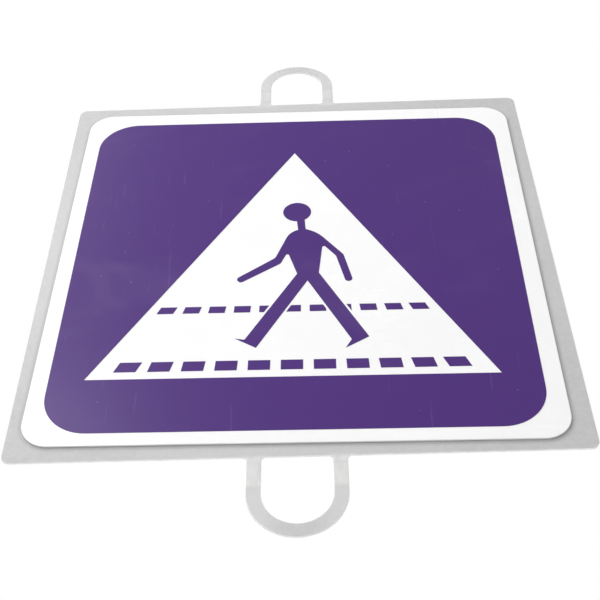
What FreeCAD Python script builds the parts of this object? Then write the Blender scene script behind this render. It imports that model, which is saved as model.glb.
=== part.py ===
import FreeCAD, Part
import math
import os

Vector = FreeCAD.Vector

# Road-crossing sign panel for a slide-on pole: a square translucent plastic sheet with a loop at its
# top and bottom edges, and a bonded white face that carries a violet crossing pictogram.
#
# Frame, in millimetres: +X to the reader's right, +Z up the sign, and the face looks along -Y.
# The origin is the centre of the backing plate's back face, where the plate bears on its pole.

# Backing sheet and its loops
PLATE_SIZE = 300.0
PLATE_CORNER_RADIUS = 5.0
SHEET_THICKNESS = 1.0
LOOP_INNER_RADIUS = 17.75
LOOP_STRIP_WIDTH = 7.6
LOOP_EYE_HEIGHT = 21.0  # plate edge to the centre of the loop's half circle
ROOT_FILLET_RADIUS = 2.2
UPPER_LOOP_CENTRE_X = 0.3  # the loops are cut slightly off the plate's middle
LOWER_LOOP_CENTRE_X = -0.8

# Fold line: a groove across the back of each leg, which leaves a thin web flush with the front
FOLD_HEIGHT = 4.0  # plate edge to the fold axis
FOLD_WEB_THICKNESS = 0.4
FOLD_CLEARANCE = 0.15  # keeps the groove's two bevels apart when the loop is folded square to the plate
FOLD_HALF_LENGTH = FOLD_WEB_THICKNESS / 2 + FOLD_CLEARANCE

# Bonded face
ADHESIVE_THICKNESS = 0.2
ADHESIVE_INSET = 2.5
FACE_MARGIN = 9.1  # plate edge to face edge
FACE_SIZE = PLATE_SIZE - 2 * FACE_MARGIN
FACE_CORNER_RADIUS = 15.5
FACE_THICKNESS = 0.8
FACE_CENTRE_X = -0.5
FACE_CENTRE_Z = -1.3
FACE_TILT_DEG = 0.65  # clockwise as read: the face is stuck on slightly askew

# Violet film, in the face's own frame
FILM_THICKNESS = 0.12
FIELD_BORDER = 9.65  # face edge to violet edge
FIELD_SIZE = FACE_SIZE - 2 * FIELD_BORDER
FIELD_CORNER_RADIUS = 25.0
FIELD_CENTRE_X = -0.55
FIELD_CENTRE_Z = -1.8

# Pictogram: a white triangular window and everything inside it, about its own upright axis.
# Its sizes are drawn for a window of DRAWN_WINDOW_SIDE and grow with WINDOW_SIDE.
WINDOW_SIDE = 222.0
DRAWN_WINDOW_SIDE = 222.0
WINDOW_BASE_Z = -97.4
PICTOGRAM_AXIS_X = -1.7

# Dashed edge lines of the crossing; the dashes lean outwards from the middle
DASH_COUNT = 11
DASH_LEAN_AT_END = 0.45  # sideways run over height of the outermost dash
DASH_LEAN_POWER = 2.25
FAR_DASH_PITCH = 14.2
FAR_DASH_LENGTH = 9.3
FAR_DASH_HEIGHT = 5.0
FAR_LINE_Z = -47.0
NEAR_DASH_PITCH = 17.7
NEAR_DASH_LENGTH = 12.0
NEAR_DASH_HEIGHT = 6.8
NEAR_LINE_Z = -88.95
LEG_MARGIN = 1.3  # white gap between the walker's legs and the far dashes

# Walker: a round head on one outline of (x, z, corner radius)
HEAD_CENTRE_X = 2.0
HEAD_CENTRE_Z = 35.8
HEAD_RADIUS = 8.6
WALKER_OUTLINE = [
    (1.6, 30.5, 0.0),  # neck, left
    (2.7, 19.2, 0.0),
    (-2.5, 16.9, 11.0),  # left shoulder
    (-10.7, -5.3, 3.0),  # left elbow, outside
    (-33.3, -22.4, 2.15),  # left hand
    (-30.7, -26.0, 2.15),
    (-7.4, -10.1, 3.0),  # left elbow, inside
    (-3.4, -0.3, 1.0),  # left armpit
    (2.35, -19.0, 0.0),  # left hip
    (-26.3, -70.4, 0.8),  # left ankle
    (-31.6, -69.4, 0.0),  # left toe
    (-19.8, -76.5, 0.0),  # left heel
    (8.4, -24.75, 0.0),  # crotch
    (32.6, -71.4, 1.0),  # right ankle
    (29.2, -77.6, 0.0),  # right toe
    (42.25, -69.6, 0.0),  # right heel
    (14.95, -18.4, 0.0),  # right hip
    (17.4, 6.0, 1.1),  # right armpit
    (25.2, -4.3, 3.0),  # right elbow, inside
    (30.5, -26.3, 2.15),  # right hand
    (34.75, -25.3, 2.15),
    (29.65, -3.25, 4.0),  # right elbow, outside
    (13.9, 17.3, 22.0),  # right shoulder
    (7.25, 19.8, 0.0),
    (6.5, 31.0, 0.0),  # neck, right
]

# Levels through the stack, from the back face at y = 0 towards the reader
PLATE_FRONT_Y = -SHEET_THICKNESS
ADHESIVE_FRONT_Y = PLATE_FRONT_Y - ADHESIVE_THICKNESS
FACE_FRONT_Y = ADHESIVE_FRONT_Y - FACE_THICKNESS
FOLD_AXIS_Y = PLATE_FRONT_Y + FOLD_WEB_THICKNESS / 2
FOLD_AXIS_Z = PLATE_SIZE / 2 + FOLD_HEIGHT
LOOP_EYE_Z = PLATE_SIZE / 2 + LOOP_EYE_HEIGHT
LOOP_OUTER_RADIUS = LOOP_INNER_RADIUS + LOOP_STRIP_WIDTH
PICTOGRAM_SCALE = WINDOW_SIDE / DRAWN_WINDOW_SIDE


def rounded_outline(corners):
    """Closed wire in the plane y = 0 through (x, z, radius) corners, each rounded by a tangent arc."""
    points = [Vector(x, 0, z) for x, z, _ in corners]
    starts, mids, ends = [], [], []
    for i, (_, _, radius) in enumerate(corners):
        corner = points[i]
        back = (points[i - 1] - corner).normalize()
        ahead = (points[(i + 1) % len(points)] - corner).normalize()
        half_angle = back.getAngle(ahead) / 2
        setback = radius / math.tan(half_angle)
        starts.append(corner + back * setback)
        ends.append(corner + ahead * setback)
        inwards = (back + ahead).normalize()
        mids.append(corner + inwards * (radius / math.sin(half_angle) - radius))
    edges = []
    for i, (_, _, radius) in enumerate(corners):
        if radius > 0:
            edges.append(Part.Arc(starts[i], mids[i], ends[i]).toShape())
        edges.append(Part.makeLine(ends[i], starts[(i + 1) % len(points)]))
    return Part.Wire(edges)


def rectangle(width, height, radius, centre_x=0.0, centre_z=0.0):
    """Corners of an upright rectangle with equal corner radii."""
    right, top = width / 2, height / 2
    signs = [(-1, -1), (1, -1), (1, 1), (-1, 1)]
    return [(centre_x + sx * right, centre_z + sz * top, radius) for sx, sz in signs]


def face_of(corners):
    return Part.Face(rounded_outline(corners))


def slab(face, back_y, thickness):
    """Flat face turned into a layer whose back lies at back_y, grown towards the reader."""
    layer = face.extrude(Vector(0, -thickness, 0))
    layer.translate(Vector(0, back_y, 0))
    return layer


def placed_on_plate(layer):
    """Moves a layer drawn in the face's own frame to its place on the plate."""
    layer.rotate(Vector(0, 0, 0), Vector(0, 1, 0), FACE_TILT_DEG)
    layer.translate(Vector(FACE_CENTRE_X, 0, FACE_CENTRE_Z))
    return layer


def on_upper_edge(shape):
    """A shape drawn about the upper loop's own middle, moved to its place."""
    return shape.translated(Vector(UPPER_LOOP_CENTRE_X, 0, 0))


def on_lower_edge(shape):
    """The same shape turned over to the sign's lower edge."""
    flipped = shape.mirror(Vector(0, 0, 0), Vector(0, 0, 1))
    return flipped.translated(Vector(LOWER_LOOP_CENTRE_X, 0, 0))


def leg_span(side):
    """Left and right edges of one of the upper loop's legs; side is -1 or 1."""
    near, far = side * LOOP_INNER_RADIUS, side * LOOP_OUTER_RADIUS
    return min(near, far), max(near, far)


def root_stub(side):
    """Short root of a leg, flared into the plate's upper edge by a fillet on either side."""
    left, right = leg_span(side)
    edge = PLATE_SIZE / 2
    foot_half_width = ROOT_FILLET_RADIUS * 1.5
    outline = [
        (left - foot_half_width, edge - foot_half_width, 0.0),
        (right + foot_half_width, edge - foot_half_width, 0.0),
        (right + foot_half_width, edge, 0.0),
        (right, edge, ROOT_FILLET_RADIUS),
        (right, FOLD_AXIS_Z, 0.0),
        (left, FOLD_AXIS_Z, 0.0),
        (left, edge, ROOT_FILLET_RADIUS),
        (left - foot_half_width, edge, 0.0),
    ]
    return slab(face_of(outline), 0.0, SHEET_THICKNESS)


def fold_bevel(towards):
    """Wedge that takes away the sheet on one side of the upper fold axis.

    What it leaves ends in a short flat tip, as thick as the web, with a 45 degree bevel behind it.
    towards is 1 to keep the side away from the plate and -1 to keep the side next to it.
    """
    web = FOLD_WEB_THICKNESS / 2
    reach = SHEET_THICKNESS
    tip = FOLD_HALF_LENGTH
    profile = [(-reach, -reach), (reach, -reach), (reach, tip + reach - web), (web, tip), (-reach, tip)]
    half_width = LOOP_OUTER_RADIUS + ROOT_FILLET_RADIUS
    points = [Vector(-half_width, FOLD_AXIS_Y + y, FOLD_AXIS_Z + towards * z) for y, z in profile]
    return Part.Face(Part.makePolygon(points + points[:1])).extrude(Vector(2 * half_width, 0, 0))


def backing_plate():
    outline = face_of(rectangle(PLATE_SIZE, PLATE_SIZE, PLATE_CORNER_RADIUS))
    square = slab(outline, 0.0, SHEET_THICKNESS)
    stubs = [root_stub(-1), root_stub(1)]
    upper_stubs = [on_upper_edge(stub) for stub in stubs]
    lower_stubs = [on_lower_edge(stub) for stub in stubs]
    plate = square.fuse(upper_stubs + lower_stubs).removeSplitter()
    bevel = fold_bevel(-1)
    return plate.cut([on_upper_edge(bevel), on_lower_edge(bevel)])


def pole_loop():
    """Flat strip bent in its own plane: two legs joined by a half circle, as on the upper edge."""

    def bow(radius):
        left = Vector(-radius, 0, LOOP_EYE_Z)
        crown = Vector(0, 0, LOOP_EYE_Z + radius)
        right = Vector(radius, 0, LOOP_EYE_Z)
        return Part.Arc(left, crown, right).toShape()

    outer, inner = LOOP_OUTER_RADIUS, LOOP_INNER_RADIUS
    root, eye = FOLD_AXIS_Z, LOOP_EYE_Z
    edges = [
        Part.makeLine(Vector(-outer, 0, root), Vector(-outer, 0, eye)),
        bow(outer),
        Part.makeLine(Vector(outer, 0, eye), Vector(outer, 0, root)),
        Part.makeLine(Vector(outer, 0, root), Vector(inner, 0, root)),
        Part.makeLine(Vector(inner, 0, root), Vector(inner, 0, eye)),
        bow(inner),
        Part.makeLine(Vector(-inner, 0, eye), Vector(-inner, 0, root)),
        Part.makeLine(Vector(-inner, 0, root), Vector(-outer, 0, root)),
    ]
    strip = slab(Part.Face(Part.Wire(Part.sortEdges(edges)[0])), 0.0, SHEET_THICKNESS)
    return strip.cut(fold_bevel(1))


def fold_webs():
    """Thin web left across each leg, on which the loop folds, as on the upper edge."""
    webs = []
    for side in (-1, 1):
        left, right = leg_span(side)
        corner = Vector(
            left, FOLD_AXIS_Y - FOLD_WEB_THICKNESS / 2, FOLD_AXIS_Z - FOLD_HALF_LENGTH
        )
        webs.append(
            Part.makeBox(right - left, FOLD_WEB_THICKNESS, 2 * FOLD_HALF_LENGTH, corner)
        )
    return Part.makeCompound(webs)


def face_adhesive():
    side = FACE_SIZE - 2 * ADHESIVE_INSET
    outline = face_of(rectangle(side, side, FACE_CORNER_RADIUS - ADHESIVE_INSET))
    return placed_on_plate(slab(outline, PLATE_FRONT_Y, ADHESIVE_THICKNESS))


def face_sheet():
    outline = face_of(rectangle(FACE_SIZE, FACE_SIZE, FACE_CORNER_RADIUS))
    return placed_on_plate(slab(outline, ADHESIVE_FRONT_Y, FACE_THICKNESS))


def film(outline):
    return placed_on_plate(slab(outline, FACE_FRONT_Y, FILM_THICKNESS))


def pictogram_face(corners):
    """Flat face of one part of the pictogram, from corners drawn about its upright axis."""
    return face_of([(PICTOGRAM_AXIS_X + x, z, r) for x, z, r in corners]).scale(PICTOGRAM_SCALE)


def violet_field():
    """Rounded square of film with an equilateral window cut through it."""
    field = rectangle(
        FIELD_SIZE, FIELD_SIZE, FIELD_CORNER_RADIUS, FIELD_CENTRE_X, FIELD_CENTRE_Z
    )
    half_side = DRAWN_WINDOW_SIDE / 2
    apex_z = WINDOW_BASE_Z + DRAWN_WINDOW_SIDE * math.sqrt(3) / 2
    window = [(-half_side, WINDOW_BASE_Z, 0.0), (half_side, WINDOW_BASE_Z, 0.0), (0.0, apex_z, 0.0)]
    return film(face_of(field).cut(pictogram_face(window)))


def walking_figure():
    centre = Vector(PICTOGRAM_AXIS_X + HEAD_CENTRE_X, 0, HEAD_CENTRE_Z)
    circle = Part.makeCircle(HEAD_RADIUS, centre, Vector(0, 1, 0))
    head = Part.Face(Part.Wire(circle)).scale(PICTOGRAM_SCALE)
    return film(pictogram_face(WALKER_OUTLINE)).fuse(film(head)).removeSplitter()


def dashed_line(pitch, length, height, centre_z):
    """Row of parallelograms, each leaning out by a power of its distance from the middle."""
    middle = (DASH_COUNT - 1) / 2
    bottom, top = centre_z - height / 2, centre_z + height / 2
    dashes = []
    for i in range(DASH_COUNT):
        rank = (i - middle) / middle
        lean = math.copysign(DASH_LEAN_AT_END * abs(rank) ** DASH_LEAN_POWER, rank) * height / 2
        left = (i - middle) * pitch - length / 2
        right = left + length
        corners = [
            (left + lean, bottom, 0.0),
            (right + lean, bottom, 0.0),
            (right - lean, top, 0.0),
            (left - lean, top, 0.0),
        ]
        dashes.append(pictogram_face(corners))
    return dashes


def near_crossing_line():
    dashes = dashed_line(NEAR_DASH_PITCH, NEAR_DASH_LENGTH, NEAR_DASH_HEIGHT, NEAR_LINE_Z)
    return Part.makeCompound([film(dash) for dash in dashes])


def far_crossing_line():
    """Dashes cut back from the walker's legs, which cross in front of them."""
    walker = pictogram_face(WALKER_OUTLINE)
    kept_clear = film(walker.makeOffset2D(LEG_MARGIN * PICTOGRAM_SCALE, 2))
    dashes = dashed_line(FAR_DASH_PITCH, FAR_DASH_LENGTH, FAR_DASH_HEIGHT, FAR_LINE_Z)
    pieces = [piece for dash in dashes for piece in film(dash).cut(kept_clear).Solids]
    return Part.makeCompound(pieces)


loop = pole_loop()
webs = fold_webs()
nodes = {
    "backing_plate": backing_plate(),
    "upper_pole_loop": on_upper_edge(loop),
    "lower_pole_loop": on_lower_edge(loop),
    "upper_fold_webs": on_upper_edge(webs),
    "lower_fold_webs": on_lower_edge(webs),
    "face_adhesive": face_adhesive(),
    "face_sheet": face_sheet(),
    "violet_field": violet_field(),
    "walking_figure": walking_figure(),
    "far_crossing_line": far_crossing_line(),
    "near_crossing_line": near_crossing_line(),
}

os.makedirs("parts", exist_ok=True)
for name, shape in nodes.items():
    shape.exportStep(f"parts/{name}.step")
    print(name, len(shape.Solids), shape.isValid(), round(shape.Volume, 2))
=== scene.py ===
import math

import bpy
import numpy as np
from bpy.props import FloatProperty, FloatVectorProperty, PointerProperty
from mathutils import Matrix, Vector


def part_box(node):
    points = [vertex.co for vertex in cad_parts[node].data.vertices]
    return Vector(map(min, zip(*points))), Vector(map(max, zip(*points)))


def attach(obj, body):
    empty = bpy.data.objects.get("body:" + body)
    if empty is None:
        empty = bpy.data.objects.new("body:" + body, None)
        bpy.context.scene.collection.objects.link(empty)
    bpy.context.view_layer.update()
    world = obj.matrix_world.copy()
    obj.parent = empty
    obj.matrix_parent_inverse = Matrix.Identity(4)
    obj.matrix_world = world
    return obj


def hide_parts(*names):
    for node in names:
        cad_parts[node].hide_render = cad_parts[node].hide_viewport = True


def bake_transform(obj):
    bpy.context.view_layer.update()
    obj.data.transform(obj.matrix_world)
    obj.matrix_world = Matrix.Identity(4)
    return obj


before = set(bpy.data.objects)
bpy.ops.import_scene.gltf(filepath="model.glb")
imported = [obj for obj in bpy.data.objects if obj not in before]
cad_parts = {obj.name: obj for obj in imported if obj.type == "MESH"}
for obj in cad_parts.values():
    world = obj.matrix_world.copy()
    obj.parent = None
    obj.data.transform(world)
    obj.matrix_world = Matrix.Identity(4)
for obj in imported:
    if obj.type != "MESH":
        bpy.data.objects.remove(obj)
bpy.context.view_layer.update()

bl_info = {
    "name": "Crossing sign panel",
    "version": (1, 0, 0),
    "blender": (4, 5, 0),
    "location": "View3D > Sidebar > Crossing sign",
    "description": "Translucent sign panel with two pole loops and a bonded crossing pictogram",
    "category": "Object",
}

# The sign stands upright: +X is to the reader's right, +Z is up, and the face looks along -Y.
PLATE_LOW, PLATE_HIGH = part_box("backing_plate")
LOOP_LOW, LOOP_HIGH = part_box("upper_pole_loop")
LOWER_LOW, LOWER_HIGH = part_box("lower_pole_loop")
WEB_LOW, WEB_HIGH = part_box("upper_fold_webs")
BOND_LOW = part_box("face_adhesive")[0]
FILM_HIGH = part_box("violet_field")[1]

MM = 0.001
FRONT_Y = PLATE_LOW.y
BACK_Y = PLATE_HIGH.y
UPPER_X = (LOOP_LOW.x + LOOP_HIGH.x) / 2
LOWER_X = (LOWER_LOW.x + LOWER_HIGH.x) / 2
EDGES = (("upper", 1, UPPER_X), ("lower", -1, LOWER_X))
SHARP_ANGLE = math.radians(40)  # edges that turn by more than this stay crisp
SHARED_LEVEL = 1e-7  # levels or points closer than this are the same
SUPPORT = 0.4 * MM  # flat band inside each cut edge, which keeps the broad faces' shading flat
MITRED = 1e-3  # sides that meet at a smaller sine than this run straight on

ROLL_STEPS = 6  # rows round each rolled edge
ARC_POINTS = 12  # points round a small corner
FACE_ARC_POINTS = 24
LOOP_ARC_POINTS = 40
WEB_ROWS = 17  # rows along a web

# Where the sheet's look changes. Each pair is where a change starts and where it is whole.
LEG_MIDDLE = 21.5 * MM  # sideways from the plate's middle to the middle of a leg
PALED_HEIGHT = 157.5 * MM  # from the plate's middle to the middle of the stretch paled by folding
PALED_DROP = 1.0 * MM  # both paled stretches sit this much low
PALED_ACROSS = (9.0 * MM, 4.5 * MM)  # sideways from the middle of a leg
PALED_ALONG = (10.5 * MM, 7.0 * MM)  # up or down from the middle of a paled stretch
UPPER_PALING = 0.55  # of the lower legs' paling
LOOP_SIDES_UP = (160.0 * MM, 172.0 * MM)  # the paler sides of the loops, up or down from the plate's middle
LOOP_SIDES_OUT = (4.0 * MM, 20.0 * MM)  # and sideways from it
SHADED_CORNERS = (165.0 * MM, 285.0 * MM)  # painted shade towards the plate's corners, by the sum of the distances sideways and up or down
BACKED = (0.0, -1.5 * MM)  # outside the white face's outline, so a minus is inside it
SHADE_BESIDE_FACE = (3.0 * MM, 0.8 * MM)  # painted shade on the plate beside the white face's raised edge, outside the face's outline


class SheetSizes(bpy.types.PropertyGroup):
    """Sizes of the translucent sheet and its loops"""

    plate_side: FloatProperty(
        name="Plate side",
        description="Side of the square plate",
        default=PLATE_HIGH.x - PLATE_LOW.x,
        unit="LENGTH",
    )
    plate_corner: FloatProperty(
        name="Plate corner",
        description="Corner radius of the plate",
        default=5 * MM,
        unit="LENGTH",
    )
    loop_outer: FloatProperty(
        name="Loop outer radius",
        description="Outer radius of a loop's half circle",
        default=LOOP_HIGH.x - UPPER_X,
        unit="LENGTH",
    )
    loop_inner: FloatProperty(
        name="Loop inner radius",
        description="Inner radius of a loop's half circle",
        default=17.75 * MM,
        unit="LENGTH",
    )
    root_fillet: FloatProperty(
        name="Root fillet",
        description="Fillet where a loop's leg leaves the plate",
        default=2.2 * MM,
        unit="LENGTH",
    )
    front_roll: FloatProperty(
        name="Front edge roll",
        description="Rounding that the cutting die leaves on the front edges",
        default=0.35 * MM,
        unit="LENGTH",
    )
    back_roll: FloatProperty(
        name="Back edge roll",
        description="Rounding of the back edges",
        default=0.15 * MM,
        unit="LENGTH",
    )


class FaceSizes(bpy.types.PropertyGroup):
    """Sizes of the bonded white face"""

    side: FloatProperty(
        name="Face side",
        description="Side of the white face",
        default=281.8 * MM,
        unit="LENGTH",
    )
    corner: FloatProperty(
        name="Face corner",
        description="Corner radius of the white face",
        default=15.5 * MM,
        unit="LENGTH",
    )
    roll: FloatProperty(
        name="Face edge roll",
        description="Rounding of the face's front edge",
        default=0.3 * MM,
        unit="LENGTH",
    )
    centre: FloatVectorProperty(
        name="Face centre",
        description="Sideways and upward place of the face on the plate",
        default=(-0.5 * MM, -1.3 * MM),
        size=2,
        unit="LENGTH",
    )
    tilt: FloatProperty(
        name="Face tilt",
        description="Clockwise turn of the face as read",
        default=math.radians(0.65),
        subtype="ANGLE",
    )


class Colours(bpy.types.PropertyGroup):
    """Colours of the finishes"""

    sheet: FloatVectorProperty(
        name="Sheet",
        description="Milky colour of the translucent sheet",
        default=(0.560, 0.558, 0.558),
        size=3,
        subtype="COLOR",
    )
    stressed: FloatVectorProperty(
        name="Stressed sheet",
        description="Paler colour of the sheet where its folds have been worked",
        default=(0.67, 0.67, 0.665),
        size=3,
        subtype="COLOR",
    )
    face: FloatVectorProperty(
        name="Face",
        description="White of the bonded face",
        default=(0.90, 0.90, 0.90),
        size=3,
        subtype="COLOR",
    )
    violet: FloatVectorProperty(
        name="Violet",
        description="Violet of the cut film",
        default=(0.081, 0.034, 0.198),
        size=3,
        subtype="COLOR",
    )
    bond: FloatVectorProperty(
        name="Bond",
        description="Cloudy white of the bond film",
        default=(0.78, 0.78, 0.75),
        size=3,
        subtype="COLOR",
    )
    floor: FloatVectorProperty(
        name="Floor",
        description="Pale floor of the stage",
        default=(0.80, 0.80, 0.80),
        size=3,
        subtype="COLOR",
    )


# ---------------------------------------------------------------- shapes


def rounded_outline(corners, arc_points):
    """Closed outline through corners (x, z, radius), anticlockwise as read, each rounded by a tangent arc.

    Each corner's arc runs about a centre on the bisector, radius / sin(half angle) from the corner, from the
    normal of the side before it to the normal of the side after it. Returns the points, and for each point
    the outward normals of the sides before and after it and those sides' indices. Along an arc both
    normals are the arc's own; a sharp corner keeps two, so that an edge profile is mitred there.
    """
    corners = np.asarray(corners, float)
    point, radius = corners[:, :2], corners[:, 2]
    ahead = np.roll(point, -1, axis=0) - point
    ahead /= np.linalg.norm(ahead, axis=1, keepdims=True)
    back = np.roll(ahead, 1, axis=0)
    normal_before = np.stack([back[:, 1], -back[:, 0]], axis=1)
    normal_after = np.stack([ahead[:, 1], -ahead[:, 0]], axis=1)
    turn = np.arctan2(
        back[:, 0] * ahead[:, 1] - back[:, 1] * ahead[:, 0], np.sum(back * ahead, axis=1)
    )
    bend = np.sign(turn)
    bisector = normal_before + normal_after
    bisector /= np.linalg.norm(bisector, axis=1, keepdims=True)
    centre = point - bisector * (bend * radius / np.cos(turn / 2))[:, None]

    steps = np.linspace(0, 1, arc_points)
    angle = turn[:, None] * steps
    cos, sin = np.cos(angle), np.sin(angle)
    start = normal_before[:, None, :]
    normal = np.stack(
        [start[..., 0] * cos - start[..., 1] * sin, start[..., 0] * sin + start[..., 1] * cos], axis=2
    )
    arc = centre[:, None, :] + normal * (bend * radius)[:, None, None]

    side = np.arange(len(corners))
    side_before = np.repeat(np.roll(side, 1)[:, None], arc_points, axis=1)
    side_after = np.repeat(side[:, None], arc_points, axis=1)
    middle = arc_points // 2  # an arc's first half belongs to the side before it, the rest to the side after
    side_after[:, :middle] = side_before[:, :middle]
    side_before[:, middle:] = side_after[:, middle:]
    rounded = np.repeat((radius > 0)[:, None], arc_points, axis=1)
    kept = rounded.copy()
    kept[:, 0] = True
    sharp = ~rounded
    before = np.where(sharp[..., None], normal_before[:, None, :], normal)
    after = np.where(sharp[..., None], normal_after[:, None, :], normal)
    side_before = np.where(sharp, np.roll(side, 1)[:, None], side_before)
    side_after = np.where(sharp, side[:, None], side_after)
    flat = kept.reshape(-1)
    points = np.where(sharp[..., None], point[:, None, :], arc).reshape(-1, 2)[flat]
    before, after = before.reshape(-1, 2)[flat], after.reshape(-1, 2)[flat]
    side_before, side_after = side_before.reshape(-1)[flat], side_after.reshape(-1)[flat]
    fresh = np.linalg.norm(points - np.roll(points, 1, axis=0), axis=1) > SHARED_LEVEL
    return points[fresh], before[fresh], after[fresh], side_before[fresh], side_after[fresh]


def edge_rows(front, back, front_roll, back_roll, between=()):
    """Levels of a cut edge from front to back, and how far it lies inside the outline at each.

    Each roll is a quarter circle: at angle a from the broad face, the inset is roll * (1 - sin a) and the
    level is roll * (1 - cos a) from the face. The edge is upright between them, with a row at each level
    named in between.
    """
    a = np.linspace(0, math.pi / 2, ROLL_STEPS)
    front_y = front + front_roll * (1 - np.cos(a))
    front_in = front_roll * (1 - np.sin(a))
    back_y = back - back_roll * (1 - np.cos(a[::-1]))
    back_in = back_roll * (1 - np.sin(a[::-1]))
    levels = np.concatenate([front_y, between, back_y])
    insets = np.concatenate([front_in, np.zeros(len(between)), back_in])
    return levels, insets


def cut_slab(corners, levels, insets, tip_sides=(), tip_insets=None, arc_points=ARC_POINTS):
    """Flat piece cut from sheet: an edge profile carried along a closed outline, with two broad faces.

    At outline point p, row j lies at p + o, where o solves o . n1 = -d1 and o . n2 = -d2: n1 and n2 are the
    normals of the sides meeting there, and d1 and d2 their profiles' insets at that row. Sides named
    in tip_sides take tip_insets instead of insets. A flat band of width SUPPORT lies inside each face.
    Returns the vertices, the faces and a 0 to 1 value that is 1 on the cut edge.
    """
    points, n1, n2, s1, s2 = rounded_outline(corners, arc_points)
    tips = np.zeros(len(corners), bool)
    tips[list(tip_sides)] = True
    tip_insets = insets if tip_insets is None else tip_insets

    def with_bands(row):
        return np.concatenate([[row[0] + SUPPORT], row, [row[-1] + SUPPORT]])

    plain, tip = with_bands(insets), with_bands(tip_insets)
    y = np.concatenate([levels[:1], levels, levels[-1:]])
    d1 = np.where(tips[s1][:, None], tip, plain)
    d2 = np.where(tips[s2][:, None], tip, plain)
    cross = n1[:, 0] * n2[:, 1] - n1[:, 1] * n2[:, 0]
    mitred = np.abs(cross) > MITRED
    safe = np.where(mitred, cross, 1.0)[:, None]
    mitre_x = (-d1 * n2[:, 1:2] + d2 * n1[:, 1:2]) / safe
    mitre_z = (-d2 * n1[:, 0:1] + d1 * n2[:, 0:1]) / safe
    offset_x = np.where(mitred[:, None], mitre_x, -d1 * n1[:, 0:1])
    offset_z = np.where(mitred[:, None], mitre_z, -d1 * n1[:, 1:2])
    x = points[:, 0:1] + offset_x
    z = points[:, 1:2] + offset_z
    count, rows = x.shape
    verts = np.stack([x, np.broadcast_to(y, x.shape), z], axis=2).reshape(-1, 3)
    edge = np.zeros((count, rows))
    edge[:, 2:-2] = 1.0

    i = np.arange(count)[:, None]
    j = np.arange(rows - 1)[None, :]
    nxt = (i + 1) % count
    quads = np.stack(
        [i * rows + j, i * rows + j + 1, nxt * rows + j + 1, nxt * rows + j], axis=2
    ).reshape(-1, 4)
    front = np.arange(count) * rows
    back = front[::-1] + rows - 1
    return verts, [front.tolist(), back.tolist()] + quads.tolist(), edge.reshape(-1)


def make_piece(name, verts, faces, edge, finish):
    """Closed smooth-shaded mesh at the origin, with the cut edge's value kept as an attribute."""
    mesh = bpy.data.meshes.new(name)
    mesh.from_pydata(verts.tolist(), [], faces)
    mesh.polygons.foreach_set("use_smooth", np.ones(len(mesh.polygons), bool))
    attribute = mesh.attributes.new("cut_edge", "FLOAT", "POINT")
    attribute.data.foreach_set("value", edge.astype(np.float32))
    mesh.materials.append(finish)
    mesh.validate()
    mesh.set_sharp_from_angle(angle=SHARP_ANGLE)
    piece = bpy.data.objects.new(name, mesh)
    bpy.context.scene.collection.objects.link(piece)
    return piece


def fold_insets(levels):
    """45 degree bevel of the groove: nothing as far back as the web, then each level's depth behind it."""
    return np.maximum(levels - WEB_HIGH.y, 0.0)


def sheet_rows():
    """Edge rows of the translucent sheet, with one at the back of the web, where the groove starts."""
    sizes = bpy.context.scene.crossing_sheet
    return edge_rows(FRONT_Y, BACK_Y, sizes.front_roll, sizes.back_roll, [WEB_HIGH.y])


# ---------------------------------------------------------------- finishes


class Wire:
    """A shader socket in an expression: each operator adds the Math node for it."""

    def __init__(self, tree, socket):
        self.tree, self.socket = tree, socket

    def math(self, operation, *values):
        return self.tree.node("Math", {"operation": operation}, dict(enumerate(values)))

    def __add__(self, other):
        return self.math("ADD", self, other)

    __radd__ = __add__

    def __sub__(self, other):
        return self.math("SUBTRACT", self, other)

    def __rsub__(self, other):
        return self.math("SUBTRACT", other, self)

    def __mul__(self, other):
        return self.math("MULTIPLY", self, other)

    __rmul__ = __mul__

    def __abs__(self):
        return self.math("ABSOLUTE", self)


class Tree:
    """A node tree, with the one method that adds nodes to it."""

    def __init__(self, tree):
        self.nodes, self.links = tree.nodes, tree.links

    def node(self, kind, settings, inputs, output=0):
        """Adds a node: its settings first, then the values or links of its sockets. Returns one output."""
        node = self.nodes.new("ShaderNode" + kind)
        for key, value in settings.items():
            setattr(node, key, value)
        for key, value in inputs.items():
            self.feed(node.inputs[key], value)
        return Wire(self, node.outputs[output])

    def feed(self, socket, value):
        """Links a wire to a socket, or sets the socket's own value."""
        if isinstance(value, Wire):
            self.links.new(value.socket, socket)
        else:
            socket.default_value = value


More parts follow.
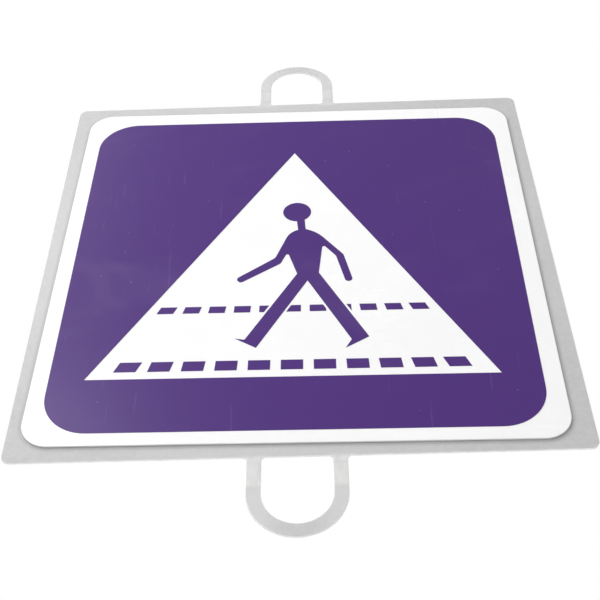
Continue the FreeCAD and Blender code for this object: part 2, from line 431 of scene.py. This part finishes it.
class Finish(Tree):
    """One material: its nodes, and the shader at their end."""

    def __init__(self, name, **constants):
        self.material = bpy.data.materials.new(name)
        self.material.use_nodes = True
        super().__init__(self.material.node_tree)
        self.shader = self.nodes["Principled BSDF"]
        for socket, value in constants.items():
            self.shader.inputs[socket.replace("_", " ")].default_value = value
        self.place = self.node("TexCoord", {}, {}, "Object")

    def axes(self):
        split = self.node("SeparateXYZ", {}, {0: self.place})
        return [Wire(self, socket) for socket in split.socket.node.outputs]

    def between(self, value, low, high):
        """0 at low, 1 at high, smooth in between."""
        return self.node(
            "MapRange",
            {"interpolation_type": "SMOOTHSTEP"},
            {"Value": value, "From Min": low, "From Max": high},
        )

    def to_low_side(self, axis):
        """0 at the plate's right or upper edge, 1 at its left or lower edge, whichever way the axis runs."""
        return self.between(axis, PLATE_HIGH.x, PLATE_LOW.x)

    def cut_edge(self):
        """1 on the cut edges of a piece."""
        return self.node("Attribute", {"attribute_name": "cut_edge"}, {}, "Fac")

    def outside_face(self):
        """How far a point of the plate lies outside the white face's outline, in metres.

        In the face's own frame, with q the point's distances from the middle less those of the corner
        arcs' centres, it is the length of q's positive part, plus q's larger component where both are
        negative, less the arcs' radius.
        """
        sizes = bpy.context.scene.crossing_face
        x, _, z = self.axes()
        x, z = x - sizes.centre[0], z - sizes.centre[1]
        cos, sin = math.cos(sizes.tilt), math.sin(sizes.tilt)
        straight = sizes.side / 2 - sizes.corner
        across = abs(x * cos - z * sin) - straight
        up = abs(z * cos + x * sin) - straight
        far_x, far_z = across.math("MAXIMUM", across, 0.0), up.math("MAXIMUM", up, 0.0)
        far = up.math("SQRT", far_x * far_x + far_z * far_z)
        near = up.math("MINIMUM", up.math("MAXIMUM", across, up), 0.0)
        return far + near - sizes.corner

    def noise(self, scale, detail=3.0, roughness=0.55, stretch=None, turn=0.0, distortion=0.0):
        """Noise on the object's own coordinates, in features of about 1 / scale metres."""
        place = self.place
        if stretch:
            place = self.node("Mapping", {}, {0: place, "Scale": stretch, "Rotation": (0.0, turn, 0.0)})
        return self.node(
            "TexNoise",
            {},
            {
                "Vector": place,
                "Scale": scale,
                "Detail": detail,
                "Roughness": roughness,
                "Distortion": distortion,
            },
        )

    def specks(self, scale, size):
        """Small round dots scattered one to a cell; 1 inside a dot."""
        away = self.node("TexVoronoi", {}, {"Vector": self.place, "Scale": scale}, "Distance")
        return self.between(away, size, size * 0.6)

    def scratches(self, scale, turn, level):
        """Fine lines along one direction: noise stretched about thirty times, cut at a level."""
        lines = self.noise(scale, detail=2.0, roughness=0.5, stretch=(1.0, 1.0, 0.03), turn=turn)
        return self.between(lines, level, level + 0.06)

    def mix(self, share, first, second):
        """First where share is 0, second where it is 1."""
        return self.node("Mix", {"data_type": "RGBA"}, {"Factor": share, 6: first, 7: second}, 2)

    def bump(self, height, distance, strength, normal=None):
        inputs = {"Height": height, "Distance": distance, "Strength": strength}
        if normal:
            inputs["Normal"] = normal
        return self.node("Bump", {}, inputs)

    def finished(self, colour, roughness, normal):
        self.feed(self.shader.inputs["Base Color"], colour)
        self.feed(self.shader.inputs["Roughness"], roughness)
        self.feed(self.shader.inputs["Normal"], normal)
        return self.material


def shade(colour, factor=1.0):
    """The same colour, lighter or darker, as a socket value."""
    return (*[min(1.0, c * factor) for c in colour], 1.0)


def made_finish(maker):
    """The finish that maker makes, made once. Its name differs from the material slots' own."""
    name = maker.__name__ + "_finish"
    return bpy.data.materials.get(name) or maker(name)


def paled_by_folding(f, x, z):
    """How far folding has paled the sheet: 1 on the lower legs at their folds, less on the upper legs."""
    legs = f.between(abs(abs(x) - LEG_MIDDLE), *PALED_ACROSS)
    stretch = f.between(abs(abs(z + PALED_DROP) - PALED_HEIGHT), *PALED_ALONG)
    return stretch * legs * (f.to_low_side(z) * (1 - UPPER_PALING) + UPPER_PALING)


def natural_sheet(name):
    """Milky translucent sheet: cloudy, satin, scuffed, paler where its folds were worked, with painted light
    on its cut edges and painted shade to the right, in the corners and beside the white face.
    """
    colours = bpy.context.scene.crossing_colours
    f = Finish(
        name,
        Subsurface_Weight=0.25,
        Subsurface_Radius=(1.0, 1.0, 1.0),
        Subsurface_Scale=0.003,
        Specular_IOR_Level=0.2,
    )
    x, _, z = f.axes()
    cloud = f.noise(14.0, detail=4.0)
    mottle = f.noise(420.0, detail=2.0)
    grain = f.noise(1500.0, detail=2.0)
    # painted shade towards the plate's corners
    corner = f.between(abs(x) + abs(z), *SHADED_CORNERS)
    worked = paled_by_folding(f, x, z)
    loop_sides = f.between(abs(z), *LOOP_SIDES_UP) * f.between(abs(x), *LOOP_SIDES_OUT)
    cracks = f.noise(260.0, detail=3.0, roughness=0.6, stretch=(1.0, 1.0, 0.35))
    crazed = worked * f.between(cracks, 0.32, 0.62)
    edge = f.cut_edge()
    rubbed = edge * f.between(f.noise(180.0), 0.40, 0.62)
    scuffs = f.scratches(900.0, turn=0.6, level=0.66) * f.between(cloud, 0.46, 0.62)
    specks = f.specks(95.0, size=0.045)
    outside = f.outside_face()
    backed = f.between(outside, *BACKED)
    # painted shade: a band of plate just outside the white face, not under it
    shade_beside_face = f.between(outside, *SHADE_BESIDE_FACE) * (1.0 - backed)

    # painted shade: the sheet darker towards its right side, away from the key lamp
    colour = f.mix(f.to_low_side(x), shade(colours.sheet, 0.90), shade(colours.sheet, 0.975))
    # painted shade: the sheet darker towards its corners
    colour = f.mix(corner, colour, shade(colours.sheet, 0.85))
    colour = f.mix(backed * 0.6, colour, shade(colours.sheet, 1.2))
    colour = f.mix(f.between(cloud, 0.3, 0.7) * 0.4, colour, shade(colours.sheet, 0.96))
    colour = f.mix(f.between(mottle, 0.35, 0.7) * 0.3, colour, shade(colours.sheet, 1.05))
    colour = f.mix(worked * 0.55 + crazed * 0.45 + loop_sides * 0.4, colour, shade(colours.stressed))
    colour = f.mix(specks * 0.30, colour, shade(colours.sheet, 0.75))
    # painted shade beside the white face's raised edge
    colour = f.mix(shade_beside_face * 0.6, colour, shade(colours.sheet, 0.68))
    # painted light: the cut edges drawn paler; rubbed spots and scuffs add real wear
    colour = f.mix(edge * 0.75 + rubbed * 0.2 + scuffs * 0.25, colour, shade(colours.stressed, 1.25))
    rough = 0.42 + cloud * 0.12 + worked * 0.12 + scuffs * 0.15 + rubbed * 0.15
    height = grain * 0.35 + mottle * 0.8 + scuffs * 0.6 + crazed * 1.2
    normal = f.bump(height, 0.02 * MM, 0.6)
    normal = f.bump(f.noise(24.0, detail=2.0), 0.35 * MM, 0.5, normal)
    return f.finished(colour, rough, normal)


def white_face(name):
    """Bonded white face: smooth and glossy, faintly uneven, with handling marks, a rubbed edge and painted
    shade on its cut edge.
    """
    colours = bpy.context.scene.crossing_colours
    f = Finish(name, Specular_IOR_Level=0.3)
    cloud = f.noise(18.0)
    peel = f.noise(260.0, detail=2.0)
    wiped = f.noise(9.0, detail=4.0, roughness=0.6, stretch=(1.0, 1.0, 2.4), turn=0.5, distortion=0.6)
    smears = f.between(wiped, 0.50, 0.72)
    lines = f.scratches(700.0, turn=-0.4, level=0.70)
    specks = f.specks(80.0, size=0.035)
    edge = f.cut_edge()
    rubbed = edge * f.between(f.noise(150.0), 0.42, 0.62)

    colour = f.mix(f.between(cloud, 0.3, 0.7), shade(colours.face, 0.985), shade(colours.face, 1.01))
    # painted shade: the cut edge drawn darker, patchier where it is rubbed
    colour = f.mix(edge * 0.65 + rubbed * 0.3, colour, shade(colours.face, 0.78))
    colour = f.mix(specks * 0.25, colour, shade(colours.face, 0.80))
    rough = 0.24 + smears * 0.10 + lines * 0.20 + rubbed * 0.20
    normal = f.bump(peel + lines * 0.5, 0.012 * MM, 0.6)
    normal = f.bump(f.noise(16.0, detail=2.0), 0.25 * MM, 0.4, normal)
    return f.finished(colour, rough, normal)


RUBBED_VIOLET = (0.30, 0.24, 0.42, 1.0)
DUSTY_VIOLET = (0.42, 0.36, 0.52, 1.0)


def violet_film(name):
    """Cut violet film: glossy, gently wavy, with fine dust specks, faint smears and hairline scratches."""
    colours = bpy.context.scene.crossing_colours
    f = Finish(name, IOR=1.42, Specular_IOR_Level=0.22)
    cloud = f.noise(12.0)
    wiped = f.noise(8.0, detail=4.0, roughness=0.6, stretch=(1.0, 1.0, 2.2), turn=0.45, distortion=0.8)
    smears = f.between(wiped, 0.48, 0.74)
    lines = f.scratches(800.0, turn=0.9, level=0.70)
    specks = f.specks(70.0, size=0.04)
    dust = f.specks(230.0, size=0.05) * f.between(cloud, 0.48, 0.60)

    # painted shade: the film darker towards its right side, away from the key lamp
    colour = f.mix(f.to_low_side(f.axes()[0]), shade(colours.violet, 0.90), shade(colours.violet, 0.97))
    colour = f.mix(f.between(cloud, 0.3, 0.7) * 0.4, colour, shade(colours.violet, 0.95))
    colour = f.mix(lines * 0.10 + smears * 0.04, colour, RUBBED_VIOLET)
    colour = f.mix(specks * 0.25 + dust * 0.22, colour, DUSTY_VIOLET)
    rough = 0.30 + smears * 0.10 + lines * 0.18 + dust * 0.2
    normal = f.bump(f.noise(320.0, detail=2.0) + specks * 2.0 + lines * 0.4, 0.010 * MM, 0.6)
    normal = f.bump(f.noise(10.0, detail=2.0), 0.4 * MM, 0.5, normal)
    return f.finished(colour, rough, normal)


def bond_film(name):
    """Cloudy pressure bond: pale, soft and slightly ribbed from its roller."""
    colours = bpy.context.scene.crossing_colours
    f = Finish(name, Subsurface_Weight=0.2, Subsurface_Scale=0.002)
    cloud = f.noise(90.0, detail=4.0)
    ribs = f.noise(300.0, detail=2.0, roughness=0.5, stretch=(1.0, 1.0, 0.05))
    bubbles = f.specks(150.0, size=0.12)
    colour = f.mix(f.between(cloud, 0.3, 0.7), shade(colours.bond, 0.93), shade(colours.bond, 1.05))
    colour = f.mix(bubbles * 0.5, colour, shade(colours.bond, 0.80))
    rough = 0.55 + cloud * 0.15 + bubbles * 0.1
    normal = f.bump(ribs + cloud * 0.6 - bubbles, 0.03 * MM, 0.6)
    return f.finished(colour, rough, normal)


def pale_floor(name):
    """Plain pale studio floor with a faint fine grain, fading into the white surroundings."""
    colours = bpy.context.scene.crossing_colours
    f = Finish(name)
    grain = f.noise(60.0)
    colour = f.mix(f.between(grain, 0.3, 0.7), shade(colours.floor, 0.99), shade(colours.floor, 1.01))
    x, y, _ = f.axes()
    away = x.math("SQRT", x * x + y * y)
    f.feed(f.shader.inputs["Alpha"], f.between(away, FLOOR_GONE, FLOOR_WHOLE))
    return f.finished(colour, 0.65 + grain * 0.1, f.bump(grain, 0.1 * MM, 0.3))


# ---------------------------------------------------------------- pieces


class SIGN_OT_backing_plate(bpy.types.Operator):
    """Square translucent plate with four short leg roots, filleted and bevelled towards the folds"""

    bl_idname = "sign.backing_plate"
    bl_label = "Backing plate"

    def execute(self, context):
        sizes = context.scene.crossing_sheet
        half, corner, fillet = sizes.plate_side / 2, sizes.plate_corner, sizes.root_fillet
        inner, outer, tip = sizes.loop_inner, sizes.loop_outer, WEB_LOW.z
        roots = [
            (outer, half, fillet),
            (outer, tip, 0.0),
            (inner, tip, 0.0),
            (inner, half, fillet),
            (-inner, half, fillet),
            (-inner, tip, 0.0),
            (-outer, tip, 0.0),
            (-outer, half, fillet),
        ]
        upper = [(UPPER_X + x, z, r) for x, z, r in roots]
        lower = [(LOWER_X - x, -z, r) for x, z, r in roots]
        corners = [(half, -half, corner), (half, half, corner)] + upper
        corners += [(-half, half, corner), (-half, -half, corner)] + lower
        tips = [3, 7, 13, 17]  # the sides that end the four leg roots
        levels, insets = sheet_rows()
        shape = cut_slab(corners, levels, insets, tips, fold_insets(levels))
        piece = make_piece("backing_plate_piece", *shape, made_finish(natural_sheet))
        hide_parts("backing_plate")
        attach(piece, "panel")
        return {"FINISHED"}


class SIGN_OT_pole_loops(bpy.types.Operator):
    """Two flat strip loops, each two legs joined by a half circle, bevelled at the feet towards the folds"""

    bl_idname = "sign.pole_loops"
    bl_label = "Pole loops"

    def execute(self, context):
        sizes = context.scene.crossing_sheet
        inner, outer = sizes.loop_inner, sizes.loop_outer
        foot, top = WEB_HIGH.z, LOOP_HIGH.z
        strip = outer - inner
        corners = [
            (outer, foot, 0.0),
            (outer, top, outer),
            (-outer, top, outer),
            (-outer, foot, 0.0),
            (-inner, foot, 0.0),
            (-inner, top - strip, inner),
            (inner, top - strip, inner),
            (inner, foot, 0.0),
        ]
        feet = [3, 7]  # the sides that end the two legs
        levels, insets = sheet_rows()
        for name, turn, middle in EDGES:
            turned = [(middle + turn * x, turn * z, r) for x, z, r in corners]
            shape = cut_slab(turned, levels, insets, feet, fold_insets(levels), LOOP_ARC_POINTS)
            piece = make_piece(f"{name}_loop_piece", *shape, made_finish(natural_sheet))
            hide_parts(f"{name}_pole_loop")
            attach(piece, f"{name}_loop")
        return {"FINISHED"}


class SIGN_OT_fold_webs(bpy.types.Operator):
    """Four thin webs on which the loops fold, finely divided along the fold"""

    bl_idname = "sign.fold_webs"
    bl_label = "Fold webs"

    def execute(self, context):
        sizes = context.scene.crossing_sheet
        along = np.linspace(WEB_LOW.z, WEB_HIGH.z, WEB_ROWS)
        for name, turn, middle in EDGES:
            left = self.web(middle - sizes.loop_outer, middle - sizes.loop_inner, turn * along)
            right = self.web(middle + sizes.loop_inner, middle + sizes.loop_outer, turn * along)
            verts = np.concatenate([left[0], right[0]])
            shift = len(left[0])
            faces = left[1] + [[i + shift for i in face] for face in right[1]]
            edge = np.concatenate([left[2], right[2]])
            piece = make_piece(f"{name}_web_piece", verts, faces, edge, made_finish(natural_sheet))
            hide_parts(f"{name}_fold_webs")
            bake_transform(piece)
        return {"FINISHED"}

    def web(self, left, right, along):
        """Tube closed at both ends: the points of one section, carried to each height in along.

        The section is the sheet's own, as far back as the web goes: its edge rows down the right side from
        front to back, and up the left side from back to front.
        """
        levels, insets = sheet_rows()
        web = levels <= WEB_HIGH.y + SHARED_LEVEL
        levels, insets = levels[web], insets[web]
        xs = np.concatenate([right - insets, (left + insets)[::-1]])
        ys = np.concatenate([levels, levels[::-1]])
        side = (np.arange(len(levels)) > 0).astype(float)
        edge = np.tile(np.concatenate([side, side[::-1]]), len(along))
        count, rows = len(xs), len(along)
        shape = (rows, count)
        x, y, z = (np.broadcast_to(v, shape) for v in (xs, ys, along[:, None]))
        i, k = np.meshgrid(np.arange(rows - 1), np.arange(count), indexing="ij")
        nxt = (k + 1) % count
        quads = np.stack(
            [i * count + k, i * count + nxt, (i + 1) * count + nxt, (i + 1) * count + k], axis=2
        ).reshape(-1, 4)
        first = np.arange(count)[::-1]
        last = np.arange(count) + (rows - 1) * count
        faces = quads.tolist() + [first.tolist(), last.tolist()]
        if along[-1] < along[0]:
            faces = [face[::-1] for face in faces]
        return np.stack([x, y, z], axis=2).reshape(-1, 3), faces, edge


class SIGN_OT_face_sheet(bpy.types.Operator):
    """White face with rounded corners, bonded to the plate slightly askew"""

    bl_idname = "sign.face_sheet"
    bl_label = "Face sheet"

    def execute(self, context):
        sizes = context.scene.crossing_face
        half = sizes.side / 2
        square = [(half, -half), (half, half), (-half, half), (-half, -half)]
        corners = [(x, z, sizes.corner) for x, z in square]
        back_roll = sizes.roll / 3  # the back edge is rounded a third as much as the front
        levels, insets = edge_rows(FILM_HIGH.y, BOND_LOW.y, sizes.roll, back_roll)
        verts, faces, edge = cut_slab(corners, levels, insets, arc_points=FACE_ARC_POINTS)
        cos, sin = math.cos(sizes.tilt), math.sin(sizes.tilt)
        x, z = verts[:, 0].copy(), verts[:, 2].copy()
        verts[:, 0] = x * cos + z * sin + sizes.centre[0]
        verts[:, 2] = z * cos - x * sin + sizes.centre[1]
        piece = make_piece("face_sheet_piece", verts, faces, edge, made_finish(white_face))
        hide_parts("face_sheet")
        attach(piece, "panel")
        return {"FINISHED"}


def finish_nodes(names, material):
    """Gives carried-over nodes their finish."""
    for name in names:
        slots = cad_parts[name].data.materials
        slots.clear()
        slots.append(material)


class SIGN_OT_graphics(bpy.types.Operator):
    """Violet film: field with its window, walker and the two dashed lines"""

    bl_idname = "sign.graphics"
    bl_label = "Graphics"

    def execute(self, context):
        films = ["violet_field", "walking_figure", "far_crossing_line", "near_crossing_line"]
        finish_nodes(films, made_finish(violet_film))
        return {"FINISHED"}


class SIGN_OT_bond(bpy.types.Operator):
    """Cloudy bond film between the face and the plate"""

    bl_idname = "sign.bond"
    bl_label = "Bond film"

    def execute(self, context):
        finish_nodes(["face_adhesive"], made_finish(bond_film))
        return {"FINISHED"}


# ---------------------------------------------------------------- stage

CAMERA_PLACE = (0.01317, -0.43621, -0.47107)
CAMERA_AHEAD = (-0.01920, 0.71106, 0.70287)
CAMERA_UP = (0.02866, -0.70232, 0.71129)
CAMERA_LENS = 64.57  # millimetres, as is the sensor's width
CAMERA_SENSOR = 36.0

FLOOR_Z = -0.62
FLOOR_RADIUS = 8.0
FLOOR_RINGS = 24
FLOOR_SPOKES = 96
FLOOR_WHOLE = 1.2  # the floor fades from this distance
FLOOR_GONE = 5.0  # to nothing here

WHITE = (1.0, 1.0, 1.0, 1.0)
SEEN_STRENGTH = 1.0
LIGHT_STRENGTH = 0.46

LAMPS = (  # name, place, side in metres, watts
    ("key_lamp", (-2.0, -1.3, 2.8), 1.8, 104.0),
    ("sheen_lamp", (-0.50, -1.0, 0.50), 0.25, 4.4),
    ("back_lamp", (1.3, 2.2, 1.6), 1.8, 34.0),
)


def look(place, ahead, up):
    """Placement of a camera or lamp at place, whose view runs along ahead with up upwards."""
    ahead = Vector(ahead).normalized()
    right = ahead.cross(Vector(up)).normalized()
    up = right.cross(ahead)
    turn = Matrix((right, up, -ahead)).transposed().to_4x4()
    return Matrix.Translation(Vector(place)) @ turn


class SIGN_OT_stage(bpy.types.Operator):
    """Pale floor, white surroundings, soft lamps and the camera"""

    bl_idname = "sign.stage"
    bl_label = "Stage"

    def execute(self, context):
        scene = context.scene
        scene.view_settings.view_transform = "Standard"
        scene.view_settings.look = "None"
        self.floor(scene)
        self.surroundings(scene)
        for name, place, size, watts in LAMPS:
            self.lamp(scene, name, place, size, watts)
        camera = bpy.data.cameras.new("camera")
        camera.sensor_width = CAMERA_SENSOR
        camera.lens = CAMERA_LENS
        holder = bpy.data.objects.new("camera", camera)
        scene.collection.objects.link(holder)
        holder.matrix_world = look(CAMERA_PLACE, CAMERA_AHEAD, CAMERA_UP)
        scene.camera = holder
        return {"FINISHED"}

    def floor(self, scene):
        """Round floor: a ring of radius r and a spoke at angle a meet at x = r cos a, y = r sin a.

        Ring k of n has the radius FLOOR_RADIUS * (k / n) ** 2, so the rings lie wider apart outwards.
        """
        r = FLOOR_RADIUS * (np.arange(1, FLOOR_RINGS + 1) / FLOOR_RINGS) ** 2
        a = np.linspace(0, 2 * math.pi, FLOOR_SPOKES, endpoint=False)
        ring, spoke = np.meshgrid(r, a, indexing="ij")
        grid = np.stack([ring * np.cos(spoke), ring * np.sin(spoke), np.full(ring.shape, FLOOR_Z)], axis=2)
        i, k = np.meshgrid(np.arange(FLOOR_RINGS - 1), np.arange(FLOOR_SPOKES), indexing="ij")
        inner, outer = i * FLOOR_SPOKES, (i + 1) * FLOOR_SPOKES
        nxt = (k + 1) % FLOOR_SPOKES
        quads = np.stack([inner + k, outer + k, outer + nxt, inner + nxt], axis=2).reshape(-1, 4)
        hub = list(range(FLOOR_SPOKES))
        mesh = bpy.data.meshes.new("floor")
        mesh.from_pydata(grid.reshape(-1, 3).tolist(), [], [hub] + quads.tolist())
        mesh.materials.append(made_finish(pale_floor))
        floor = bpy.data.objects.new("floor", mesh)
        scene.collection.objects.link(floor)

    def surroundings(self, scene):
        """White all round where it is seen straight on, and dimmer as a source of light."""
        world = bpy.data.worlds.new("surroundings")
        world.use_nodes = True
        tree = Tree(world.node_tree)
        tree.nodes.remove(tree.nodes["Background"])
        seen = tree.node("Background", {}, {"Color": WHITE, "Strength": SEEN_STRENGTH})
        light = tree.node("Background", {}, {"Color": WHITE, "Strength": LIGHT_STRENGTH})
        straight_on = tree.node("LightPath", {}, {}, "Is Camera Ray")
        mixed = tree.node("MixShader", {}, {0: straight_on, 1: light, 2: seen})
        tree.feed(tree.nodes["World Output"].inputs["Surface"], mixed)
        scene.world = world

    def lamp(self, scene, name, place, size, watts):
        """Square soft lamp, aimed at the origin."""
        lamp = bpy.data.lights.new(name, "AREA")
        lamp.shape = "SQUARE"
        lamp.size = size
        lamp.energy = watts
        holder = bpy.data.objects.new(name, lamp)
        scene.collection.objects.link(holder)
        holder.matrix_world = look(place, -Vector(place), (0.0, 0.0, 1.0))


MAKERS = (
    SIGN_OT_backing_plate,
    SIGN_OT_pole_loops,
    SIGN_OT_fold_webs,
    SIGN_OT_bond,
    SIGN_OT_face_sheet,
    SIGN_OT_graphics,
    SIGN_OT_stage,
)


class SIGN_PT_panel(bpy.types.Panel):
    """Lists the sign's pieces, sizes and colours"""

    bl_idname = "SIGN_PT_panel"
    bl_label = "Crossing sign"
    bl_space_type = "VIEW_3D"
    bl_region_type = "UI"
    bl_category = "Crossing sign"

    def draw(self, context):
        for maker in MAKERS:
            self.layout.operator(maker.bl_idname)
        for group in ("crossing_sheet", "crossing_face", "crossing_colours"):
            settings = getattr(context.scene, group)
            box = self.layout.box()
            for key in settings.__annotations__:
                box.prop(settings, key)


GROUPS = {"crossing_sheet": SheetSizes, "crossing_face": FaceSizes, "crossing_colours": Colours}


def register():
    for group in GROUPS.values():
        bpy.utils.register_class(group)
    for maker in MAKERS:
        bpy.utils.register_class(maker)
    bpy.utils.register_class(SIGN_PT_panel)
    for name, group in GROUPS.items():
        setattr(bpy.types.Scene, name, PointerProperty(type=group))


def unregister():
    for name in GROUPS:
        delattr(bpy.types.Scene, name)
    bpy.utils.unregister_class(SIGN_PT_panel)
    for maker in reversed(MAKERS):
        bpy.utils.unregister_class(maker)
    for group in GROUPS.values():
        bpy.utils.unregister_class(group)


def main():
    register()
    bpy.ops.sign.backing_plate()
    bpy.ops.sign.pole_loops()
    bpy.ops.sign.fold_webs()
    bpy.ops.sign.bond()
    bpy.ops.sign.face_sheet()
    bpy.ops.sign.graphics()
    bpy.ops.sign.stage()


if __name__ == "__main__":
    main()
